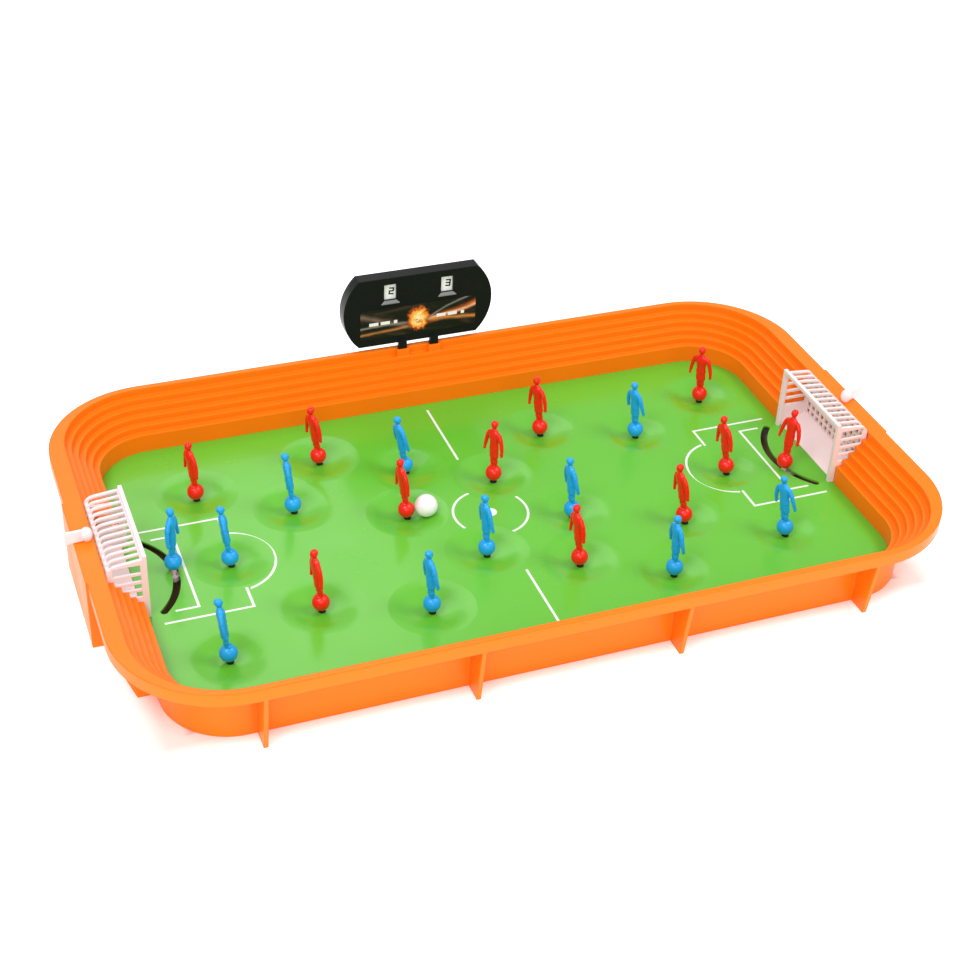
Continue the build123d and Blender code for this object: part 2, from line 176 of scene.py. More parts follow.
class TrayLook(PropertyGroup):
    colour: FloatVectorProperty(
        name="Tray colour",
        description="Orange of the moulded tray",
        subtype="COLOR",
        size=3,
        default=(1.0, 0.19, 0.003),
    )
    edge: FloatProperty(
        name="Edge radius",
        description="How far the moulded edges are rounded",
        default=0.0016,
        unit="LENGTH",
    )


class PitchLook(PropertyGroup):
    colour: FloatVectorProperty(
        name="Pitch colour",
        description="Green of the pitch sheet",
        subtype="COLOR",
        size=3,
        default=(0.12, 0.47, 0.03),
    )
    line: FloatProperty(
        name="Line width",
        description="Width of the printed white lines",
        default=0.00185,
        unit="LENGTH",
    )
    circle: FloatProperty(
        name="Centre circle",
        description="Radius of the centre circle's print",
        default=0.0278,
        unit="LENGTH",
    )
    spot: FloatProperty(
        name="Centre spot",
        description="Radius of the printed centre spot",
        default=0.0048,
        unit="LENGTH",
    )


class TeamLook(PropertyGroup):
    red: FloatVectorProperty(
        name="Red team",
        description="Plastic of the red footballers",
        subtype="COLOR",
        size=3,
        default=(0.82, 0.013, 0.002),
    )
    blue: FloatVectorProperty(
        name="Blue team",
        description="Plastic of the blue footballers",
        subtype="COLOR",
        size=3,
        default=(0.009, 0.35, 0.80),
    )


class SpringLook(PropertyGroup):
    turns: IntProperty(
        name="Turns",
        description="Turns of wire in each player's spring",
        default=9,
    )
    wire: FloatProperty(
        name="Wire",
        description="Radius of the spring wire",
        default=0.00045,
        unit="LENGTH",
    )


class BoardLook(PropertyGroup):
    digit: FloatProperty(
        name="Digit height",
        description="Height of the printed score digits",
        default=0.0062,
        unit="LENGTH",
    )
    ring: FloatProperty(
        name="Digit ring",
        description="Radius at which the digits stand on a dial",
        default=0.0165,
        unit="LENGTH",
    )
    left_score: IntProperty(
        name="Left score",
        description="Digit in the left window",
        default=2,
    )
    right_score: IntProperty(
        name="Right score",
        description="Digit in the right window",
        default=3,
    )


class StageLook(PropertyGroup):
    focal: FloatProperty(
        name="Focal length",
        description="Camera lens",
        default=64.77,
        unit="CAMERA",
    )
    floor: FloatVectorProperty(
        name="Floor colour",
        description="Colour of the plain floor",
        subtype="COLOR",
        size=3,
        default=(0.93, 0.93, 0.93),
    )


class Finish:
    """A node material under construction, with helpers for maths, noise, tones and bump."""

    def __init__(self, name, rough=0.3):
        self.material = bpy.data.materials.new(name)
        self.material.use_nodes = True
        self.tree = self.material.node_tree
        self.shader = next(n for n in self.tree.nodes if n.type == "BSDF_PRINCIPLED")
        self.set(Roughness=rough)
        coord = self.tree.nodes.new("ShaderNodeTexCoord")
        self.place = coord.outputs["Object"]

    def set(self, **values):
        for key, value in values.items():
            self.shader.inputs[key.replace("_", " ")].default_value = value

    def link(self, a, b):
        self.tree.links.new(a, b)

    def math(self, op, *values):
        node = self.tree.nodes.new("ShaderNodeMath")
        node.operation = op
        for socket, value in zip(node.inputs, values):
            if isinstance(value, (int, float)):
                socket.default_value = value
            else:
                self.link(value, socket)
        return node.outputs[0]

    def axes(self):
        split = self.tree.nodes.new("ShaderNodeSeparateXYZ")
        self.link(self.place, split.inputs[0])
        return [split.outputs[i] for i in range(3)]

    def noise(self, scale, detail, stretch=(1, 1, 1), distortion=0.0):
        mapping = self.tree.nodes.new("ShaderNodeMapping")
        mapping.inputs["Scale"].default_value = stretch
        self.link(self.place, mapping.inputs["Vector"])
        node = self.tree.nodes.new("ShaderNodeTexNoise")
        node.inputs["Scale"].default_value = scale
        node.inputs["Detail"].default_value = detail
        node.inputs["Distortion"].default_value = distortion
        self.link(mapping.outputs[0], node.inputs["Vector"])
        return node.outputs["Fac"]

    def mix(self, factor, a, b):
        node = self.tree.nodes.new("ShaderNodeMix")
        node.data_type = "RGBA"
        self.link(factor, node.inputs[0])
        for socket, value in ((node.inputs[6], a), (node.inputs[7], b)):
            if isinstance(value, (tuple, list)):
                socket.default_value = (*value[:3], 1.0)
            else:
                self.link(value, socket)
        return node.outputs[2]

    def ramp(self, value, stops):
        node = self.tree.nodes.new("ShaderNodeValToRGB")
        while len(node.color_ramp.elements) < len(stops):
            node.color_ramp.elements.new(0.5)
        for element, (at, colour) in zip(node.color_ramp.elements, stops):
            element.position = at
            element.color = (*colour, 1.0)
        self.link(value, node.inputs[0])
        return node.outputs[0]

    def span(self, value, low, high, to_low, to_high):
        node = self.tree.nodes.new("ShaderNodeMapRange")
        self.link(value, node.inputs["Value"])
        ends = {"From Min": low, "From Max": high, "To Min": to_low, "To Max": to_high}
        for key, number in ends.items():
            node.inputs[key].default_value = number
        return node.outputs[0]

    def colour(self, socket):
        self.link(socket, self.shader.inputs["Base Color"])

    def mottle(self, colour, amount, scale=22.0):
        """Slow tone changes of a moulded plastic."""
        dark = [c * (1 - amount) for c in colour]
        light = [min(1.0, c * (1 + amount)) for c in colour]
        return self.mix(self.noise(scale, 2.0), dark, light)

    def surface(self, edge, grain=0.03, scale=900.0, depth=0.0002):
        """Rounded edges and the faint texture of the mould."""
        bump = self.tree.nodes.new("ShaderNodeBump")
        bump.inputs["Strength"].default_value = grain
        bump.inputs["Distance"].default_value = depth
        self.link(self.noise(scale, 2.0), bump.inputs["Height"])
        if edge:
            bevel = self.tree.nodes.new("ShaderNodeBevel")
            bevel.samples = 6
            bevel.inputs["Radius"].default_value = edge
            self.link(bevel.outputs[0], bump.inputs["Normal"])
        self.link(bump.outputs[0], self.shader.inputs["Normal"])

    def varied_gloss(self, low, high, scale=60.0):
        """Roughness that wanders between two values."""
        gloss = self.span(self.noise(scale, 3.0), 0.3, 0.7, low, high)
        self.link(gloss, self.shader.inputs["Roughness"])


def plastic(name, colour, low, high, edge, coat, mottle, soft=0.0, shine=0.4):
    """Moulded plastic: roughness from low to high, rounded edges, and light let in where soft."""
    finish = Finish(name)
    finish.colour(finish.mottle(colour, mottle))
    finish.varied_gloss(low, high)
    finish.set(Coat_Weight=coat, Coat_Roughness=0.08, Specular_IOR_Level=shine)
    if soft:
        finish.set(Subsurface_Weight=soft, Subsurface_Scale=0.002)
        finish.shader.inputs["Subsurface Radius"].default_value = (1.0, 0.6, 0.4)
    finish.surface(edge)
    return finish.material


def dress(material, *nodes):
    """Puts a material on whole CAD nodes."""
    for node in nodes:
        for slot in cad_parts[node].material_slots:
            slot.material = material


def new_mesh(name, verts, faces, material, smooth=True):
    mesh = bpy.data.meshes.new(name)
    mesh.from_pydata([tuple(v) for v in verts], [], [tuple(int(i) for i in f) for f in faces])
    mesh.materials.append(material)
    mesh.polygons.foreach_set("use_smooth", [smooth] * len(mesh.polygons))
    mesh.update()
    return mesh


def mesh_piece(name, verts, faces, material, body, slot, smooth=True):
    """A new visible piece that rides on a body, if it has one; the slot is not used."""
    piece = bpy.data.objects.new(name, new_mesh(name, verts, faces, material, smooth))
    bpy.context.scene.collection.objects.link(piece)
    if body:
        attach(piece, body)
    return piece


def bands(rows, sides):
    """Faces between neighbouring rows of a closed form."""
    faces = []
    for i in range(rows - 1):
        for k in range(sides):
            j = (k + 1) % sides
            faces.append((i * sides + k, i * sides + j, (i + 1) * sides + j, (i + 1) * sides + k))
    return faces


def tube(points, radius, sides):
    """Closed tube along points; radius is one number or one for each point."""
    points = np.asarray(points, float)
    radii = np.broadcast_to(np.asarray(radius, float), (len(points),))
    tangent = np.gradient(points, axis=0)
    tangent /= np.linalg.norm(tangent, axis=1)[:, None]
    up = np.array([0.0, 0.0, 1.0])
    verts = []
    for p, t, r in zip(points, tangent, radii):
        a = np.cross(t, up)
        a /= max(np.linalg.norm(a), 1e-9)
        b = np.cross(a, t)
        for k in range(sides):
            w = 2 * math.pi * k / sides
            verts.append(p + r * (math.cos(w) * a + math.sin(w) * b))
    rows = len(points)
    faces = bands(rows, sides)
    faces.append(tuple(range(sides)))
    faces.append(tuple((rows - 1) * sides + k for k in reversed(range(sides))))
    return verts, faces


def rings(levels, sides=36):
    """Closed form through level ellipses: height, middle x and y, half depth and half width."""
    verts = []
    for z, x, y, depth, width in levels:
        for k in range(sides):
            w = 2 * math.pi * k / sides
            verts.append((x + depth * math.cos(w), y + width * math.sin(w), z))
    faces = bands(len(levels), sides)
    faces.append(tuple(reversed(range(sides))))
    faces.append(tuple((len(levels) - 1) * sides + k for k in range(sides)))
    return verts, faces


def egg(centre, radii, sides=28):
    """Closed ellipsoid."""
    x, y, z = centre
    depth, width, height = radii
    levels = []
    for i in range(1, sides // 2):
        t = math.pi * i / (sides // 2) - math.pi / 2
        c = math.cos(t)
        levels.append((z + height * math.sin(t), x, y, depth * c, width * c))
    return rings(levels, sides)


def gather(shapes):
    """Joins several (verts, faces) into one."""
    verts, faces = [], []
    for v, f in shapes:
        base = len(verts)
        verts += [tuple(c) for c in v]
        faces += [tuple(i + base for i in face) for face in f]
    return verts, faces


def footballer_shapes():
    """Closed forms of a footballer in millimetres, facing +X, its ball's centre at the origin."""
    shapes = [
        rings(
            (
                (21.6, 0, 0, 2.5, 3.9),
                (22.0, 0, 0, 2.95, 4.3),
                (23.2, 0, 0, 2.95, 4.25),
                (26.0, 0, 0, 2.65, 3.85),
                (29.0, 0.1, 0, 2.75, 4.0),
                (32.5, 0.2, 0, 3.1, 4.8),
                (35.0, 0.1, 0, 3.0, 5.2),
                (36.8, 0, 0, 2.5, 4.8),
                (38.0, 0, 0, 2.0, 3.4),
                (39.0, 0, 0, 1.75, 2.1),
                (39.6, 0, 0, 1.75, 1.95),
            )
        ),
        rings(
            (
                (14.6, 0, 0, 2.7, 4.0),
                (15.0, 0, 0, 2.85, 4.2),
                (18.0, 0, 0, 2.8, 4.15),
                (23.0, 0, 0, 2.6, 3.9),
            )
        ),
        rings(((38.5, 0, 0, 1.35, 1.35), (42.0, 0.1, 0, 1.3, 1.3))),
        egg((0.1, 0, 43.3), (2.75, 2.6, 3.2)),
        egg((-0.35, 0, 44.0), (2.65, 2.6, 2.6)),
        egg((2.75, 0, 42.8), (0.45, 0.4, 0.7)),
    ]
    for s in (-1, 1):
        shapes.append(
            rings(
                (
                    (3.6, 0, s * 1.25, 1.6, 1.45),
                    (6.4, 0, s * 1.3, 1.5, 1.4),
                    (9.5, -0.3, s * 1.5, 1.85, 1.7),
                    (12.6, 0.1, s * 1.6, 1.75, 1.65),
                    (16.0, 0.1, s * 1.8, 2.1, 2.0),
                    (21.0, 0, s * 1.9, 2.4, 2.1),
                )
            )
        )
        shapes.append(egg((0.9, s * 1.5, 5.9), (2.4, 1.35, 1.1)))
        sock_top = (
            (9.9, -0.1, s * 1.5, 1.9, 1.8),
            (10.5, -0.1, s * 1.5, 2.1, 1.95),
            (11.2, -0.1, s * 1.5, 1.9, 1.8),
        )
        shapes.append(rings(sock_top))
        sleeve = (
            (0, s * 3.6, 36.2),
            (0, s * 5.0, 35.4),
            (0.1, s * 6.4, 32.8),
            (0.1, s * 7.3, 30.4),
            (0.1, s * 7.4, 30.1),
        )
        shapes.append(tube(sleeve, (1.5, 1.85, 1.8, 1.85, 1.6), 24))
        arm = (
            (0.1, s * 7.1, 31.0),
            (0.1, s * 7.9, 28.4),
            (0.4, s * 8.7, 24.6),
            (0.8, s * 9.2, 21.2),
        )
        shapes.append(tube(arm, (1.5, 1.65, 1.5, 1.2), 24))
        shapes.append(egg((0.95, s * 9.3, 19.9), (1.4, 1.15, 1.9)))
        shapes.append(egg((1.8, s * 8.6, 20.4), (0.7, 0.6, 1.0)))
        shapes.append(egg((0.1, s * 2.6, 43.0), (0.5, 0.4, 0.75)))
    return shapes


def footballer_mesh():
    """One fused, softened footballer on its ball, in millimetres."""
    verts, faces = gather(footballer_shapes())
    rough = bpy.data.meshes.new("footballer_rough")
    rough.from_pydata(verts, [], faces)
    block = bpy.data.objects.new("footballer_rough", rough)
    bpy.context.scene.collection.objects.link(block)
    fuse = block.modifiers.new("fuse", "REMESH")
    fuse.mode = "VOXEL"
    fuse.voxel_size = 0.30
    soften = block.modifiers.new("soften", "SMOOTH")
    soften.factor = 0.5
    soften.iterations = 3
    thin = block.modifiers.new("thin", "DECIMATE")
    thin.ratio = 0.35
    bpy.context.view_layer.update()
    shaped = block.evaluated_get(bpy.context.evaluated_depsgraph_get())
    fused = bpy.data.meshes.new_from_object(shaped)
    man_verts = [(v.co.x, v.co.y, v.co.z * FIGURE_HEIGHT) for v in fused.vertices]
    man_faces = [tuple(p.vertices) for p in fused.polygons]
    bpy.data.objects.remove(block)
    bpy.data.meshes.remove(fused)
    ball = egg((0, 0, 0), (PLAYER_BALL, PLAYER_BALL, PLAYER_BALL), 56)
    return gather([(man_verts, man_faces), ball])


def stance(node):
    """Where a CAD footballer stands: its ball's centre, its upright axis, and the way it faces."""
    co = np.array([v.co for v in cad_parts[node].data.vertices])
    floor = co[:, 2].min()
    ball = co[co[:, 2] < floor + BALL_TOP]
    middle = (ball.min(axis=0) + ball.max(axis=0)) / 2
    radius = (ball[:, 0].max() - ball[:, 0].min()) / 2
    away = np.hypot(ball[:, 0] - middle[0], ball[:, 1] - middle[1])
    # Points on the ball's side give the height of its centre, whatever is moulded above and below.
    side = (away > 0.6 * radius) & (away < 0.96 * radius) & (ball[:, 2] < floor + SIDE_TOP)
    level = np.median(ball[side, 2] + np.sqrt(radius**2 - away[side] ** 2))
    centre = np.array([middle[0], middle[1], level])
    head = co[co[:, 2] > co[:, 2].max() - HEAD_DEPTH]
    axis = (head.min(axis=0) + head.max(axis=0)) / 2 - centre
    axis /= np.linalg.norm(axis)
    rel = co - centre
    height = rel @ axis
    flat = rel - height[:, None] * axis
    reach = np.linalg.norm(flat, axis=1)
    hands = flat[(height > HANDS_LOW) & (height < HANDS_HIGH) & (reach > HANDS_OUT)]
    across = np.linalg.eigh(hands.T @ hands)[1][:, 2]
    ahead = np.cross(across, axis)
    both_hands = hands[hands @ across > 0].mean(axis=0) + hands[hands @ across < 0].mean(axis=0)
    if ahead @ both_hands < 0:
        ahead = -ahead
    ahead /= np.linalg.norm(ahead)
    across = np.cross(axis, ahead)
    return Matrix(np.column_stack((ahead, across, axis)).tolist()).to_4x4(), Vector(centre)


class SPRINGGAME_OT_tray(Operator):
    """Orange moulded tray with soft rounded steps"""

    bl_idname = "springgame.tray"
    bl_label = "Tray"

    def execute(self, context):
        look = context.scene.springgame_tray
        finish = Finish("tray_orange")
        finish.colour(finish.mottle(tuple(look.colour), 0.05, 9.0))
        finish.varied_gloss(0.28, 0.38, 30.0)
        finish.set(Coat_Weight=0.0, Specular_IOR_Level=0.22)
        finish.surface(look.edge, 0.04, 700.0)
        dress(finish.material, "tray")
        return {"FINISHED"}


class SPRINGGAME_OT_pitch(Operator):
    """Green sheet with the printed lines of a football pitch"""

    bl_idname = "springgame.pitch"
    bl_label = "Pitch"

    def execute(self, context):
        look = context.scene.springgame_pitch
        finish = Finish("pitch_green")
        x, y, z = finish.axes()
        ax = finish.math("ABSOLUTE", x)
        yc = finish.math("SUBTRACT", y, CENTRE_Y)
        ay = finish.math("ABSOLUTE", yc)
        half = look.line / 2

        def near(value, at):
            gap = finish.math("ABSOLUTE", finish.math("SUBTRACT", value, at))
            return finish.math("LESS_THAN", gap, half)

        def between(value, low, high):
            above = finish.math("GREATER_THAN", value, low)
            return finish.math("MULTIPLY", above, finish.math("LESS_THAN", value, high))

        def both(a, b):
            return finish.math("MULTIPLY", a, b)

        def ring(at, radius):
            dx = finish.math("SUBTRACT", ax, at)
            span = finish.math("SQRT", finish.math("ADD", both(dx, dx), both(yc, yc)))
            return near(span, radius)

        reach = finish.math("SQRT", finish.math("ADD", both(x, x), both(yc, yc)))
        big_x, big_end, big_y = BIG_BOX
        small_x, small_end, small_y = SMALL_BOX
        marks = [
            near(reach, look.circle),
            *(both(near(x, 0.0), between(yc, *run)) for run in LINE_RUNS),
            finish.math("LESS_THAN", reach, look.spot),
            both(near(ax, big_x), between(ay, BIG_BOX_GAP, big_y + half)),
            both(near(ay, big_y), between(ax, big_x - half, big_end)),
            both(near(ax, small_x), finish.math("LESS_THAN", ay, small_y + half)),
            both(near(ay, small_y), between(ax, small_x - half, small_end)),
            both(ring(ARC_MIDDLE, ARC_RADIUS), finish.math("LESS_THAN", ax, ARC_END)),
        ]
        print_mask = marks[0]
        for mark in marks[1:]:
            print_mask = finish.math("MAXIMUM", print_mask, mark)
        print_mask = both(print_mask, finish.math("GREATER_THAN", z, PRINT_LEVEL))
        green = finish.mottle(tuple(look.colour), 0.05, 6.0)
        finish.colour(finish.mix(print_mask, green, PRINT_WHITE))
        finish.varied_gloss(0.20, 0.28, 40.0)
        finish.set(Coat_Weight=0.15, Coat_Roughness=0.08, Specular_IOR_Level=0.35)
        finish.surface(0.0, 0.03, 500.0)
        dress(finish.material, "pitch")
        return {"FINISHED"}


class SPRINGGAME_OT_players(Operator):
    """Red and blue footballers"""

    bl_idname = "springgame.players"
    bl_label = "Footballers"

    def execute(self, context):
        look = context.scene.springgame_team
        verts, faces = footballer_mesh()
        verts = [tuple(c * MM for c in v) for v in verts]
        for team in TEAMS:
            material = plastic(
                team + "_plastic",
                tuple(getattr(look, team)),
                0.28,
                0.36,
                edge=0.0,
                coat=0.1,
                mottle=0.05,
                soft=0.03,
                shine=0.35,
            )
            mesh = new_mesh("footballer_" + team, verts, faces, material)
            places = {"player_%s_%d" % (team, n): "footballer_%s_%d" % (team, n) for n in SQUAD}
            places["keeper_" + team] = "goalkeeper_" + team
            for node, body in places.items():
                turn, centre = stance(node)
                piece = bpy.data.objects.new("man_" + node, mesh)
                context.scene.collection.objects.link(piece)
                piece.matrix_world = Matrix.Translation(centre) @ turn
                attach(piece, body)
                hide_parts(node)
        return {"FINISHED"}


class SPRINGGAME_OT_springs(Operator):
    """Coil springs under the players"""

    bl_idname = "springgame.springs"
    bl_label = "Springs"

    def execute(self, context):
        look = context.scene.springgame_spring
        finish = Finish("spring_black", 0.38)
        finish.colour(finish.mottle((0.012, 0.012, 0.013), 0.3, 400.0))
        finish.set(Metallic=0.4)
        finish.surface(0.0, 0.05, 3000.0, 0.00005)
        for team in TEAMS:
            for n in SQUAD:
                node = "spring_%s_%d" % (team, n)
                low, high = (Vector(c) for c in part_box(node))
                mid = (low + high) / 2
                radius = (high.x - low.x) / 2 - look.wire
                steps = look.turns * COIL_STEPS
                points = []
                for i in range(steps + 1):
                    w = 2 * math.pi * look.turns * i / steps
                    z = low.z + look.wire + (high.z - low.z - 2 * look.wire) * i / steps
                    across = radius * math.cos(w)
                    along = radius * math.sin(w)
                    points.append((mid.x + across, mid.y + along, z))
                name = "coil_%s_%d" % (team, n)
                wire = tube(points, look.wire, 7)
                coil = mesh_piece(name, *wire, finish.material, None, "spring_black")
                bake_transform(coil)
                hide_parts(node)
        return {"FINISHED"}


class SPRINGGAME_OT_goals(Operator):
    """White goals and keeper levers"""

    bl_idname = "springgame.goals"
    bl_label = "Goals and levers"

    def execute(self, context):
        white = plastic(
            "white_plastic",
            (0.90, 0.73, 0.74),
            0.28,
            0.38,
            edge=0.0004,
            coat=0.05,
            mottle=0.02,
            soft=0.05,
        )
        steel = Finish("screw_steel")
        steel.colour(steel.mottle((0.55, 0.55, 0.56), 0.1, 800.0))
        steel.set(Metallic=1.0)
        steel.surface(0.0002, 0.06, 2500.0, 0.00005)
        for team in TEAMS:
            dress(white, "goal_" + team, "arm_" + team, "knob_" + team)
            dress(steel.material, "screw_" + team)
        return {"FINISHED"}


class SPRINGGAME_OT_board(Operator):
    """Scoreboard case, window sills and front label"""

    bl_idname = "springgame.board"
    bl_label = "Scoreboard"

    def execute(self, context):
        black = plastic(
            "black_plastic",
            (0.008, 0.008, 0.009),
            0.22,
            0.30,
            edge=0.0009,
            coat=0.0,
            mottle=0.2,
            shine=0.12,
        )
        dress(black, "scoreboard_case", "scoreboard_back")
        self.label()
        self.sills()
        return {"FINISHED"}

    def label(self):
        """A glowing ball among soft streaks, with pale dashes on both sides."""
        low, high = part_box("score_label")
        mid_x, mid_z = (low[0] + high[0]) / 2, (low[2] + high[2]) / 2
        art = Finish("label_print")
        x, _, z = art.axes()
        u = art.math("SUBTRACT", x, mid_x)
        v = art.math("SUBTRACT", z, mid_z)
        sway = art.span(art.noise(60.0, 2.0), 0.0, 1.0, -0.0016, 0.0016)
        wavy = art.math("ADD", v, sway)
        smoke = art.noise(14.0, 5.0, (3.0, 1.0, 9.0), 1.2)
        base = art.ramp(smoke, SMOKE_TONES)
        for rise, slope, bend, width, side, tint in STREAKS:
            path = art.math("MULTIPLY_ADD", art.math("MULTIPLY_ADD", u, bend, slope), u, rise)
            gap = art.math("ABSOLUTE", art.math("SUBTRACT", wavy, path))
            veil = art.span(gap, 0.0, 2.1 * width, 1.0, 0.0)
            veil = art.math("POWER", veil, 1.8)
            away = art.span(art.math("MULTIPLY", u, side), 0.004, 0.011, 0.0, 1.0)
            veil = art.math("MULTIPLY", veil, away)
            veil = art.math("MULTIPLY", veil, art.span(smoke, 0.3, 0.6, 0.55, 1.0))
            base = art.mix(veil, base, tint)
        wobble = art.span(art.noise(330.0, 4.0), 0.0, 1.0, -0.0034, 0.0034)
        drop = art.math("ADD", v, FLAME_DROP)
        lick = art.math("MULTIPLY", art.math("MAXIMUM", drop, 0.0), 0.33)
        squares = art.math("MULTIPLY", u, u), art.math("MULTIPLY", drop, drop)
        span = art.math("SQRT", art.math("ADD", *squares))
        flame = art.math("SUBTRACT", art.math("ADD", span, wobble), lick)
        glow = art.ramp(art.span(flame, 0.0, FLAME_EDGE, 0.0, 1.0), FLAME_TONES)
        mixed = art.mix(art.span(flame, 0.0072, FLAME_EDGE, 1.0, 0.0), base, glow)
        patch = art.span(art.noise(380.0, 2.0, (1.0, 1.0, 1.6), 0.8), 0.50, 0.62, 0.0, 1.0)
        inside = art.span(span, 0.0050, 0.0068, 1.0, 0.0)
        mixed = art.mix(art.math("MULTIPLY", patch, inside), mixed, (0.80, 0.26, 0.03))
        for at, half in DASHES:
            wide = art.math("LESS_THAN", art.math("ABSOLUTE", art.math("SUBTRACT", u, at)), half)
            tall = art.math("LESS_THAN", art.math("ABSOLUTE", v), DASH_HEIGHT)
            mixed = art.mix(art.math("MULTIPLY", wide, tall), mixed, (0.86, 0.86, 0.85))
        art.colour(mixed)
        art.set(Coat_Weight=0.05, Coat_Roughness=0.08, Specular_IOR_Level=0.15)
        art.varied_gloss(0.2, 0.28, 90.0)
        art.surface(0.0, 0.01, 900.0)
        dress(art.material, "score_label")

    def sills(self):
        """A sloping sill under each score window."""
        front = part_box("scoreboard_case")[0][1] + SILL_FRONT
        grey = plastic(
            "sill_grey",
            (0.20, 0.20, 0.21),
            0.3,
            0.4,
            edge=0.0002,
            coat=0.0,
            mottle=0.05,
        )
        for side in ("left", "right"):
            low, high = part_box("dial_" + side)
            mid = (low[0] + high[0]) / 2
            verts = []
            for half, out, height in SILL_STEPS:
                for s in (-1, 1):
                    verts.append((mid + s * half, front + out, height))
            around = [(0, 1, 3, 2), (2, 3, 5, 4), (4, 5, 7, 6), (6, 7, 1, 0)]
            faces = around + [(0, 2, 4, 6), (1, 7, 5, 3)]
            mesh_piece("sill_" + side, verts, faces, grey, "scoreboard", "black_plastic", False)


def digit_bars(digit, height):
    """Upright strokes of a seven-stroke numeral, each (x0, z0, x1, z1) about its middle."""
    w, h, t = 0.34 * height, 0.5 * height, 0.19 * height
    bars = {
        "top": (-w, h - t, w, h),
        "mid": (-w, -t / 2, w, t / 2),
        "low": (-w, -h, w, t - h),
        "upper_left": (-w, 0, t - w, h),
        "upper_right": (w - t, 0, w, h),
        "lower_left": (-w, -h, t - w, 0),
        "lower_right": (w - t, -h, w, 0),
    }
    return [bar for name, bar in bars.items() if name not in LEFT_OUT[digit]]


class SPRINGGAME_OT_digits(Operator):
    """Score dials and the digits printed on them"""

    bl_idname = "springgame.digits"
    bl_label = "Score digits"

    def execute(self, context):
        look = context.scene.springgame_board
        card = plastic(
            "dial_white",
            (0.95, 0.95, 0.95),
            0.4,
            0.5,
            edge=0.0002,
            coat=0.0,
            mottle=0.01,
        )
        ink = plastic(
            "digit_ink",
            (0.006, 0.006, 0.008),
            0.5,
            0.6,
            edge=0.0,
            coat=0.0,
            mottle=0.1,
            shine=0.1,
        )
        dress(card, "dial_left", "dial_right")
        for side, score in (("left", look.left_score), ("right", look.right_score)):
            low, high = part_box("dial_" + side)
            hub_x, hub_z = (low[0] + high[0]) / 2, (low[2] + high[2]) / 2
            shapes = []
            for k in range(DIGITS):
                turn = 2 * math.pi * k / DIGITS + DIAL_TURN
                bars = digit_bars((score + k) % DIGITS, look.digit)
                for layer, (x0, z0, x1, z1) in enumerate(bars):
                    verts = []
                    for y in (low[1] - INK_PROUD - INK_LAYER * layer, low[1] + INK_SUNK):
                        for x, z in ((x0, z0), (x1, z0), (x1, z1), (x0, z1)):
                            z += look.ring
                            verts.append(
                                (
                                    hub_x + x * math.cos(turn) + z * math.sin(turn),
                                    y,
                                    hub_z + z * math.cos(turn) - x * math.sin(turn),
                                )
                            )
                    ends = ((0, 1, 2, 3), (4, 7, 6, 5))
                    sides = ((0, 4, 5, 1), (1, 5, 6, 2), (2, 6, 7, 3), (3, 7, 4, 0))
                    shapes.append((verts, ends + sides))
            verts, faces = gather(shapes)
            mesh_piece("digits_" + side, verts, faces, ink, side + "_score", "dial_white", False)
        return {"FINISHED"}


class SPRINGGAME_OT_ball(Operator):
    """White play ball"""

    bl_idname = "springgame.ball"
    bl_label = "Ball"

    def execute(self, context):
        white = plastic(
            "ball_white",
            (0.90, 0.90, 0.89),
            0.25,
            0.32,
            edge=0.0,
            coat=0.3,
            mottle=0.02,
            soft=0.05,
        )
        dress(white, "ball")
        return {"FINISHED"}


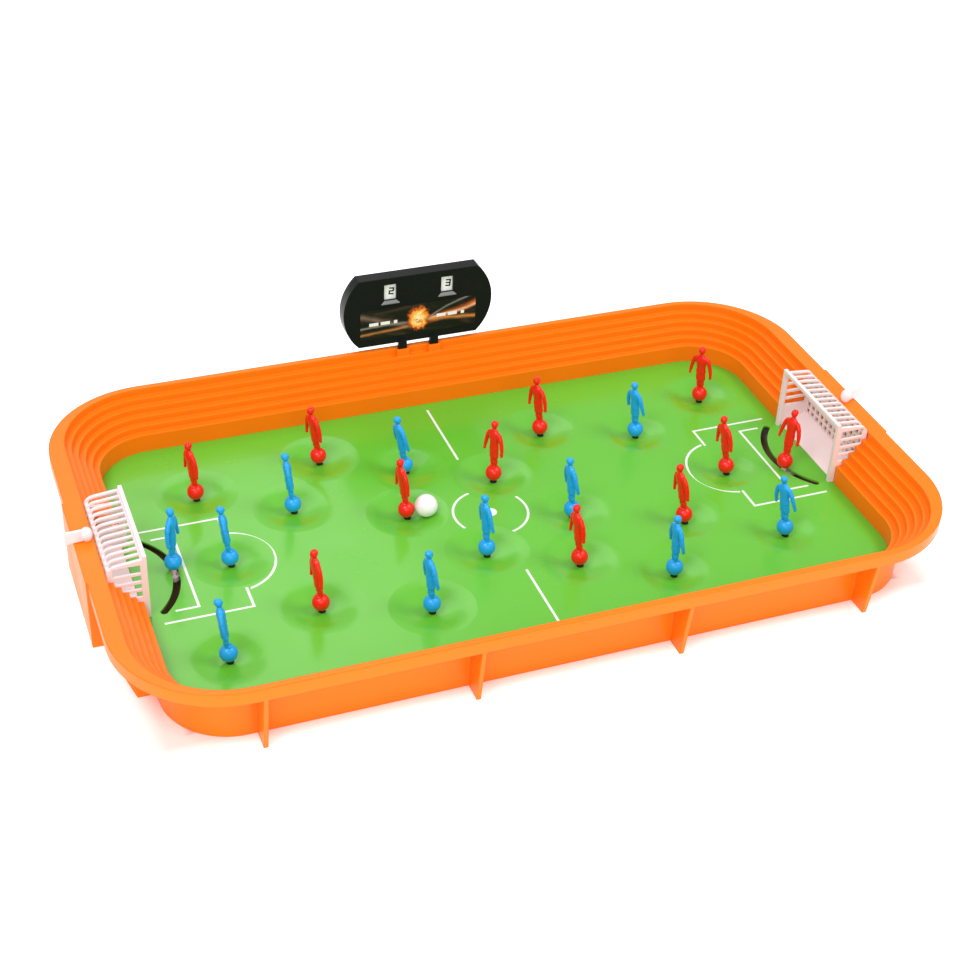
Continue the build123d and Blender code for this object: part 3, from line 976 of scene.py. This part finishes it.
class SPRINGGAME_OT_stage(Operator):
    """Pale floor with painted shade under the tray, soft studio light and the camera"""

    bl_idname = "springgame.stage"
    bl_label = "Stage"

    def execute(self, context):
        look = context.scene.springgame_stage
        floor = Finish("floor_white")
        floor.varied_gloss(0.55, 0.65, 5.0)
        x, y, _ = floor.axes()
        across = floor.math("DIVIDE", floor.math("ABSOLUTE", x), COVERED_X)
        along = floor.math("DIVIDE", floor.math("ABSOLUTE", y), COVERED_Y)
        reach = floor.math("MAXIMUM", across, along)
        glowing = floor.span(reach, 0.96, 1.04, 0.0, 1.0)
        # Painted shade: under the tray the floor is coloured dark brown for the shade seen through
        # the tray's slots; pale marks the white floor outside it.
        pale = floor.span(reach, 0.88, 0.92, 0.0, 1.0)
        white = floor.mottle(tuple(look.floor), 0.01, 2.0)
        floor.colour(floor.mix(pale, (0.20, 0.12, 0.06), white))
        glow = floor.mix(glowing, (0.0, 0.0, 0.0), (1.0, 1.0, 1.0))
        floor.link(glow, floor.shader.inputs["Emission Color"])
        floor.set(Emission_Strength=FLOOR_GLOW, Specular_IOR_Level=0.2)
        signs = ((-1, -1), (1, -1), (1, 1), (-1, 1))
        corners = [(sx * FLOOR_HALF, sy * FLOOR_HALF, 0) for sx, sy in signs]
        plane = mesh_piece("floor", corners, [(0, 1, 2, 3)], floor.material, None, None, False)
        world = bpy.data.worlds.new("studio")
        world.use_nodes = True
        sky = next(n for n in world.node_tree.nodes if n.type == "BACKGROUND")
        sky.inputs[0].default_value = (1.0, 1.0, 1.0, 1.0)
        sky.inputs[1].default_value = SKY
        context.scene.world = world
        for name, place, size, power in LAMPS:
            data = bpy.data.lights.new(name, "AREA")
            data.size = size
            data.energy = power
            lamp = bpy.data.objects.new(name, data)
            lamp.location = place
            ray = Vector(LAMP_AIM) - Vector(place)
            lamp.rotation_euler = ray.to_track_quat("-Z", "Y").to_euler()
            context.scene.collection.objects.link(lamp)
        self.camera(context, look)
        context.scene.view_settings.view_transform = "Standard"
        return {"FINISHED"}

    def camera(self, context, look):
        """The camera, from its direction, roll, aim and distance."""
        azimuth, elevation, roll = (math.radians(angle) for angle in (AZIMUTH, ELEVATION, ROLL))
        back = Vector(
            (
                math.sin(azimuth) * math.cos(elevation),
                -math.cos(azimuth) * math.cos(elevation),
                math.sin(elevation),
            )
        )
        right = (-back).cross(Vector((0, 0, 1))).normalized()
        up = right.cross(-back)
        tilted_right = math.cos(roll) * right + math.sin(roll) * up
        tilted_up = -math.sin(roll) * right + math.cos(roll) * up
        data = bpy.data.cameras.new("camera")
        data.sensor_width = 36.0
        data.lens = look.focal
        camera = bpy.data.objects.new("camera", data)
        turn = Matrix((tilted_right, tilted_up, back)).transposed().to_4x4()
        camera.matrix_world = Matrix.Translation(Vector(AIM) + back * DISTANCE) @ turn
        context.scene.collection.objects.link(camera)
        context.scene.camera = camera


class SPRINGGAME_PT_panel(Panel):
    bl_idname = "SPRINGGAME_PT_panel"
    bl_label = "Spring football"
    bl_space_type = "VIEW_3D"
    bl_region_type = "UI"
    bl_category = "Spring football"

    def draw(self, context):
        for operator in OPERATORS:
            self.layout.operator(operator.bl_idname)
        for name, look in LOOKS.items():
            for key in look.__annotations__:
                self.layout.prop(getattr(context.scene, name), key)


LOOKS = {
    "springgame_tray": TrayLook,
    "springgame_pitch": PitchLook,
    "springgame_team": TeamLook,
    "springgame_spring": SpringLook,
    "springgame_board": BoardLook,
    "springgame_stage": StageLook,
}
OPERATORS = (
    SPRINGGAME_OT_tray,
    SPRINGGAME_OT_pitch,
    SPRINGGAME_OT_players,
    SPRINGGAME_OT_springs,
    SPRINGGAME_OT_goals,
    SPRINGGAME_OT_board,
    SPRINGGAME_OT_digits,
    SPRINGGAME_OT_ball,
    SPRINGGAME_OT_stage,
)


def register():
    for look in LOOKS.values():
        bpy.utils.register_class(look)
    for operator in OPERATORS:
        bpy.utils.register_class(operator)
    bpy.utils.register_class(SPRINGGAME_PT_panel)
    for name, look in LOOKS.items():
        setattr(bpy.types.Scene, name, PointerProperty(type=look))


def unregister():
    for name in LOOKS:
        delattr(bpy.types.Scene, name)
    bpy.utils.unregister_class(SPRINGGAME_PT_panel)
    for operator in reversed(OPERATORS):
        bpy.utils.unregister_class(operator)
    for look in reversed(LOOKS.values()):
        bpy.utils.unregister_class(look)


def main():
    register()
    bpy.ops.springgame.tray()
    bpy.ops.springgame.pitch()
    bpy.ops.springgame.players()
    bpy.ops.springgame.springs()
    bpy.ops.springgame.goals()
    bpy.ops.springgame.board()
    bpy.ops.springgame.digits()
    bpy.ops.springgame.ball()
    bpy.ops.springgame.stage()


if __name__ == "__main__":
    main()
